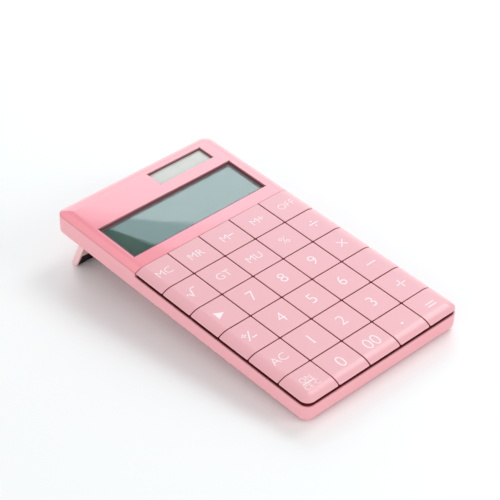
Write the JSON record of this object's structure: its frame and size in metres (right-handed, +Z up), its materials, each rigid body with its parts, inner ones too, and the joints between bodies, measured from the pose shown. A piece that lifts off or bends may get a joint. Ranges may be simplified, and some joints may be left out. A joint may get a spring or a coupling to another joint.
{
  "type": "desk calculator",
  "caption": "Thin pink desk calculator with flat edge-to-edge keys, a raised display end with display and solar windows, and a fold-out rear stand.",
  "frame": {"origin": "middle of the bounding box, at the surface it stands on, with the stand open", "axes": "+Y from the user's edge towards the display end, +Z up, +X to the user's right"},
  "size_m": [0.098, 0.1764, 0.0305],
  "materials": {
    "key_plastic": "satin, printed legends",
    "panel_plastic": "gloss",
    "casing_plastic": "satin",
    "deck_plastic": "matt dark maroon",
    "carrier_plastic": "matt black",
    "silicone": "translucent grey silicone",
    "board": "green solder mask",
    "resin": "black resin",
    "foam": "black foam tape",
    "window_clear": "clear acrylic",
    "lcd": "grey green display glass, off",
    "reflector": "satin foil",
    "ribbon": "amber film",
    "solar": "coated glass, pale grey",
    "wire": "red insulation",
    "cell_steel": "brushed",
    "contact_metal": "nickel plated",
    "screw_steel": "zinc plated",
    "pin_steel": "ground",
    "foot_rubber": "matt black rubber"
  },
  "bodies": {
    "casing": {"base_casing": "casing_plastic", "key_deck": "deck_plastic", "keypad_membrane": "silicone", "circuit_board": "board", "processor_resin": "resin", "small_components": "resin", "display_bezel": "panel_plastic", "display_gasket": "foam", "display_window": "window_clear", "lcd_glass": "lcd", "lcd_reflector": "reflector", "lcd_ribbon": "ribbon", "solar_gasket": "foam", "solar_cell": "solar", "solar_wires": "wire", "display_carrier": "carrier_plastic", "button_cell": "cell_steel", "cell_contact_negative": "contact_metal", "cell_contact_positive": "contact_metal", "casing_screws": "screw_steel", "board_screws": "screw_steel", "bezel_screws": "screw_steel", "carrier_screws": "screw_steel", "front_feet": "foot_rubber"},
    "stand": {"stand": "casing_plastic", "stand_foot_strip": "foot_rubber", "stand_hinge_pins": "pin_steel"},
    "battery_door": {"battery_door": "casing_plastic"},
    "key_memory_clear": {"key_memory_clear": "key_plastic"},
    "key_memory_recall": {"key_memory_recall": "key_plastic"},
    "key_memory_minus": {"key_memory_minus": "key_plastic"},
    "key_memory_plus": {"key_memory_plus": "key_plastic"},
    "key_off": {"key_off": "key_plastic"},
    "key_root": {"key_root": "key_plastic"},
    "key_grand_total": {"key_grand_total": "key_plastic"},
    "key_mark_up": {"key_mark_up": "key_plastic"},
    "key_percent": {"key_percent": "key_plastic"},
    "key_divide": {"key_divide": "key_plastic"},
    "key_backspace": {"key_backspace": "key_plastic"},
    "key_seven": {"key_seven": "key_plastic"},
    "key_eight": {"key_eight": "key_plastic"},
    "key_nine": {"key_nine": "key_plastic"},
    "key_multiply": {"key_multiply": "key_plastic"},
    "key_sign": {"key_sign": "key_plastic"},
    "key_four": {"key_four": "key_plastic"},
    "key_five": {"key_five": "key_plastic"},
    "key_six": {"key_six": "key_plastic"},
    "key_minus": {"key_minus": "key_plastic"},
    "key_all_clear": {"key_all_clear": "key_plastic"},
    "key_one": {"key_one": "key_plastic"},
    "key_two": {"key_two": "key_plastic"},
    "key_three": {"key_three": "key_plastic"},
    "key_plus": {"key_plus": "key_plastic"},
    "key_on_clear": {"key_on_clear": "key_plastic"},
    "key_zero": {"key_zero": "key_plastic"},
    "key_double_zero": {"key_double_zero": "key_plastic"},
    "key_point": {"key_point": "key_plastic"},
    "key_equals": {"key_equals": "key_plastic"}
  },
  "joints": [
    {"name": "stand_fold", "type": "hinge", "parent": "casing", "child": "stand", "pos_m": [0, 0.07058, 0.01852], "axis": [-1, 0, 0], "range_deg": [0, 113.3]},
    {"name": "battery_door_turn", "type": "hinge", "parent": "casing", "child": "battery_door", "pos_m": [0.024, 0.03656, 0.01303], "axis": [0, -0.1017, 0.9948], "range_deg": [0, 45]},
    {"name": "key_memory_clear_press", "type": "slide", "parent": "casing", "child": "key_memory_clear", "axis": [0, 0.1017, -0.9948], "range_m": [0, 0.0012], "stiffness_N_per_m": 450, "springref_m": -0.0003, "deforming": ["keypad_membrane"]},
    {"name": "key_memory_recall_press", "type": "slide", "parent": "casing", "child": "key_memory_recall", "axis": [0, 0.1017, -0.9948], "range_m": [0, 0.0012], "stiffness_N_per_m": 450, "springref_m": -0.0003, "deforming": ["keypad_membrane"]},
    {"name": "key_memory_minus_press", "type": "slide", "parent": "casing", "child": "key_memory_minus", "axis": [0, 0.1017, -0.9948], "range_m": [0, 0.0012], "stiffness_N_per_m": 450, "springref_m": -0.0003, "deforming": ["keypad_membrane"]},
    {"name": "key_memory_plus_press", "type": "slide", "parent": "casing", "child": "key_memory_plus", "axis": [0, 0.1017, -0.9948], "range_m": [0, 0.0012], "stiffness_N_per_m": 450, "springref_m": -0.0003, "deforming": ["keypad_membrane"]},
    {"name": "key_off_press", "type": "slide", "parent": "casing", "child": "key_off", "axis": [0, 0.1017, -0.9948], "range_m": [0, 0.0012], "stiffness_N_per_m": 450, "springref_m": -0.0003, "deforming": ["keypad_membrane"]},
    {"name": "key_root_press", "type": "slide", "parent": "casing", "child": "key_root", "axis": [0, 0.1017, -0.9948], "range_m": [0, 0.0012], "stiffness_N_per_m": 450, "springref_m": -0.0003, "deforming": ["keypad_membrane"]},
    {"name": "key_grand_total_press", "type": "slide", "parent": "casing", "child": "key_grand_total", "axis": [0, 0.1017, -0.9948], "range_m": [0, 0.0012], "stiffness_N_per_m": 450, "springref_m": -0.0003, "deforming": ["keypad_membrane"]},
    {"name": "key_mark_up_press", "type": "slide", "parent": "casing", "child": "key_mark_up", "axis": [0, 0.1017, -0.9948], "range_m": [0, 0.0012], "stiffness_N_per_m": 450, "springref_m": -0.0003, "deforming": ["keypad_membrane"]},
    {"name": "key_percent_press", "type": "slide", "parent": "casing", "child": "key_percent", "axis": [0, 0.1017, -0.9948], "range_m": [0, 0.0012], "stiffness_N_per_m": 450, "springref_m": -0.0003, "deforming": ["keypad_membrane"]},
    {"name": "key_divide_press", "type": "slide", "parent": "casing", "child": "key_divide", "axis": [0, 0.1017, -0.9948], "range_m": [0, 0.0012], "stiffness_N_per_m": 450, "springref_m": -0.0003, "deforming": ["keypad_membrane"]},
    {"name": "key_backspace_press", "type": "slide", "parent": "casing", "child": "key_backspace", "axis": [0, 0.1017, -0.9948], "range_m": [0, 0.0012], "stiffness_N_per_m": 450, "springref_m": -0.0003, "deforming": ["keypad_membrane"]},
    {"name": "key_seven_press", "type": "slide", "parent": "casing", "child": "key_seven", "axis": [0, 0.1017, -0.9948], "range_m": [0, 0.0012], "stiffness_N_per_m": 450, "springref_m": -0.0003, "deforming": ["keypad_membrane"]},
    {"name": "key_eight_press", "type": "slide", "parent": "casing", "child": "key_eight", "axis": [0, 0.1017, -0.9948], "range_m": [0, 0.0012], "stiffness_N_per_m": 450, "springref_m": -0.0003, "deforming": ["keypad_membrane"]},
    {"name": "key_nine_press", "type": "slide", "parent": "casing", "child": "key_nine", "axis": [0, 0.1017, -0.9948], "range_m": [0, 0.0012], "stiffness_N_per_m": 450, "springref_m": -0.0003, "deforming": ["keypad_membrane"]},
    {"name": "key_multiply_press", "type": "slide", "parent": "casing", "child": "key_multiply", "axis": [0, 0.1017, -0.9948], "range_m": [0, 0.0012], "stiffness_N_per_m": 450, "springref_m": -0.0003, "deforming": ["keypad_membrane"]},
    {"name": "key_sign_press", "type": "slide", "parent": "casing", "child": "key_sign", "axis": [0, 0.1017, -0.9948], "range_m": [0, 0.0012], "stiffness_N_per_m": 450, "springref_m": -0.0003, "deforming": ["keypad_membrane"]},
    {"name": "key_four_press", "type": "slide", "parent": "casing", "child": "key_four", "axis": [0, 0.1017, -0.9948], "range_m": [0, 0.0012], "stiffness_N_per_m": 450, "springref_m": -0.0003, "deforming": ["keypad_membrane"]},
    {"name": "key_five_press", "type": "slide", "parent": "casing", "child": "key_five", "axis": [0, 0.1017, -0.9948], "range_m": [0, 0.0012], "stiffness_N_per_m": 450, "springref_m": -0.0003, "deforming": ["keypad_membrane"]},
    {"name": "key_six_press", "type": "slide", "parent": "casing", "child": "key_six", "axis": [0, 0.1017, -0.9948], "range_m": [0, 0.0012], "stiffness_N_per_m": 450, "springref_m": -0.0003, "deforming": ["keypad_membrane"]},
    {"name": "key_minus_press", "type": "slide", "parent": "casing", "child": "key_minus", "axis": [0, 0.1017, -0.9948], "range_m": [0, 0.0012], "stiffness_N_per_m": 450, "springref_m": -0.0003, "deforming": ["keypad_membrane"]},
    {"name": "key_all_clear_press", "type": "slide", "parent": "casing", "child": "key_all_clear", "axis": [0, 0.1017, -0.9948], "range_m": [0, 0.0012], "stiffness_N_per_m": 450, "springref_m": -0.0003, "deforming": ["keypad_membrane"]},
    {"name": "key_one_press", "type": "slide", "parent": "casing", "child": "key_one", "axis": [0, 0.1017, -0.9948], "range_m": [0, 0.0012], "stiffness_N_per_m": 450, "springref_m": -0.0003, "deforming": ["keypad_membrane"]},
    {"name": "key_two_press", "type": "slide", "parent": "casing", "child": "key_two", "axis": [0, 0.1017, -0.9948], "range_m": [0, 0.0012], "stiffness_N_per_m": 450, "springref_m": -0.0003, "deforming": ["keypad_membrane"]},
    {"name": "key_three_press", "type": "slide", "parent": "casing", "child": "key_three", "axis": [0, 0.1017, -0.9948], "range_m": [0, 0.0012], "stiffness_N_per_m": 450, "springref_m": -0.0003, "deforming": ["keypad_membrane"]},
    {"name": "key_plus_press", "type": "slide", "parent": "casing", "child": "key_plus", "axis": [0, 0.1017, -0.9948], "range_m": [0, 0.0012], "stiffness_N_per_m": 450, "springref_m": -0.0003, "deforming": ["keypad_membrane"]},
    {"name": "key_on_clear_press", "type": "slide", "parent": "casing", "child": "key_on_clear", "axis": [0, 0.1017, -0.9948], "range_m": [0, 0.0012], "stiffness_N_per_m": 450, "springref_m": -0.0003, "deforming": ["keypad_membrane"]},
    {"name": "key_zero_press", "type": "slide", "parent": "casing", "child": "key_zero", "axis": [0, 0.1017, -0.9948], "range_m": [0, 0.0012], "stiffness_N_per_m": 450, "springref_m": -0.0003, "deforming": ["keypad_membrane"]},
    {"name": "key_double_zero_press", "type": "slide", "parent": "casing", "child": "key_double_zero", "axis": [0, 0.1017, -0.9948], "range_m": [0, 0.0012], "stiffness_N_per_m": 450, "springref_m": -0.0003, "deforming": ["keypad_membrane"]},
    {"name": "key_point_press", "type": "slide", "parent": "casing", "child": "key_point", "axis": [0, 0.1017, -0.9948], "range_m": [0, 0.0012], "stiffness_N_per_m": 450, "springref_m": -0.0003, "deforming": ["keypad_membrane"]},
    {"name": "key_equals_press", "type": "slide", "parent": "casing", "child": "key_equals", "axis": [0, 0.1017, -0.9948], "range_m": [0, 0.0012], "stiffness_N_per_m": 450, "springref_m": -0.0003, "deforming": ["keypad_membrane"]}
  ]
}
